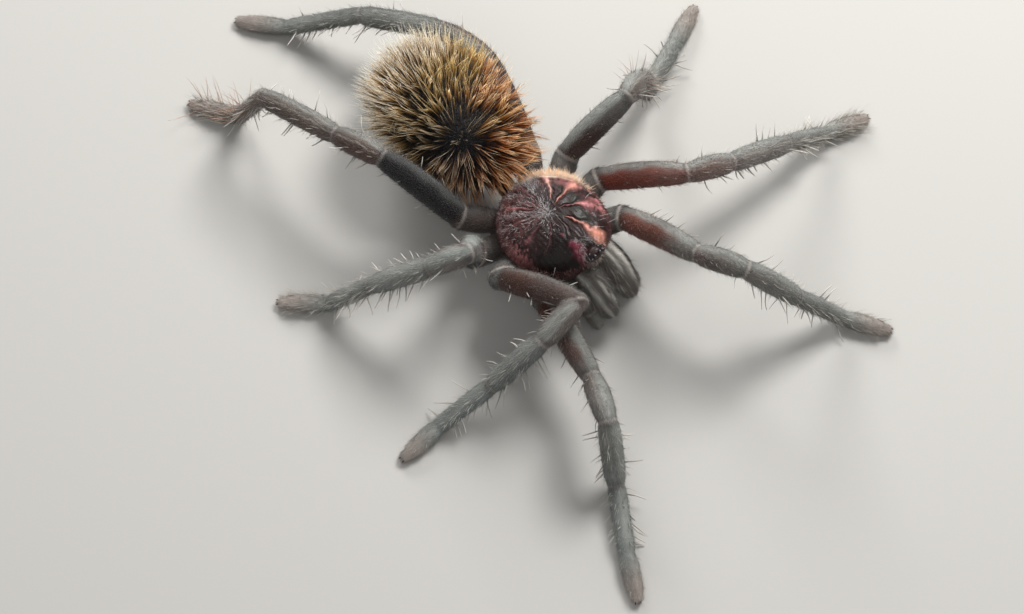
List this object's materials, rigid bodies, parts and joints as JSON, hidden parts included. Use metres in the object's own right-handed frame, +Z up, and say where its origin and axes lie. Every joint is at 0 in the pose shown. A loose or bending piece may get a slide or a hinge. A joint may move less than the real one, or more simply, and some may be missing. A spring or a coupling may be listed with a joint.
{
  "type": "pink toe tarantula",
  "caption": "Life-size still model of a pink toe tarantula standing with its legs spread, with a rayed carapace, a hairy abdomen, and palps and fangs at the front.",
  "frame": {"origin": "under the middle of the whole animal's box, at the level of its feet", "axes": "+Z up, the animal faces -Y and its left side is +X"},
  "size_m": [0.0872, 0.1068, 0.0215],
  "materials": {
    "carapace": "dark brown-black shell with rose-pink rays from the middle, satin, under fine pale hairs",
    "leg_hair": "short grey velvet with paler rings at the joints and sparse pale bristles",
    "femur_hair": "red-brown velvet flanks below a grey band along the back",
    "abdomen_hair": "long golden to orange hairs in loose tufts over black velvet",
    "underside": "dark brown-black skin under short velvet",
    "eyes": "glossy black lenses",
    "fangs": "polished black horn"
  },
  "bodies": {
    "root": {"carapace": "carapace", "sternum": "underside", "chelicera_left": "leg_hair", "fang_left": "fangs", "palp_left_coxa": "leg_hair", "palp_left_femur": "femur_hair", "palp_left_tip": "leg_hair", "leg_left_1_coxa": "leg_hair", "leg_left_1_femur": "femur_hair", "leg_left_1_tibia": "leg_hair", "leg_left_1_foot": "leg_hair", "leg_left_2_coxa": "leg_hair", "leg_left_2_femur": "femur_hair", "leg_left_2_tibia": "leg_hair", "leg_left_2_foot": "leg_hair", "leg_left_3_coxa": "leg_hair", "leg_left_3_femur": "femur_hair", "leg_left_3_tibia": "leg_hair", "leg_left_3_foot": "leg_hair", "leg_left_4_coxa": "leg_hair", "leg_left_4_femur": "femur_hair", "leg_left_4_tibia": "leg_hair", "leg_left_4_foot": "leg_hair", "spinneret_left": "underside", "eye_front_middle_left": "eyes", "eye_front_side_left": "eyes", "eye_rear_side_left": "eyes", "eye_rear_middle_left": "eyes", "chelicera_right": "leg_hair", "fang_right": "fangs", "palp_right_coxa": "leg_hair", "palp_right_femur": "femur_hair", "palp_right_tip": "leg_hair", "leg_right_1_coxa": "leg_hair", "leg_right_1_femur": "femur_hair", "leg_right_1_tibia": "leg_hair", "leg_right_1_foot": "leg_hair", "leg_right_2_coxa": "leg_hair", "leg_right_2_femur": "femur_hair", "leg_right_2_tibia": "leg_hair", "leg_right_2_foot": "leg_hair", "leg_right_3_coxa": "leg_hair", "leg_right_3_femur": "femur_hair", "leg_right_3_tibia": "leg_hair", "leg_right_3_foot": "leg_hair", "leg_right_4_coxa": "leg_hair", "leg_right_4_femur": "femur_hair", "leg_right_4_tibia": "leg_hair", "leg_right_4_foot": "leg_hair", "spinneret_right": "underside", "eye_front_middle_right": "eyes", "eye_front_side_right": "eyes", "eye_rear_side_right": "eyes", "eye_rear_middle_right": "eyes", "eye_mound": "carapace", "abdomen": "abdomen_hair", "pedicel": "underside"}
  },
  "joints": []
}
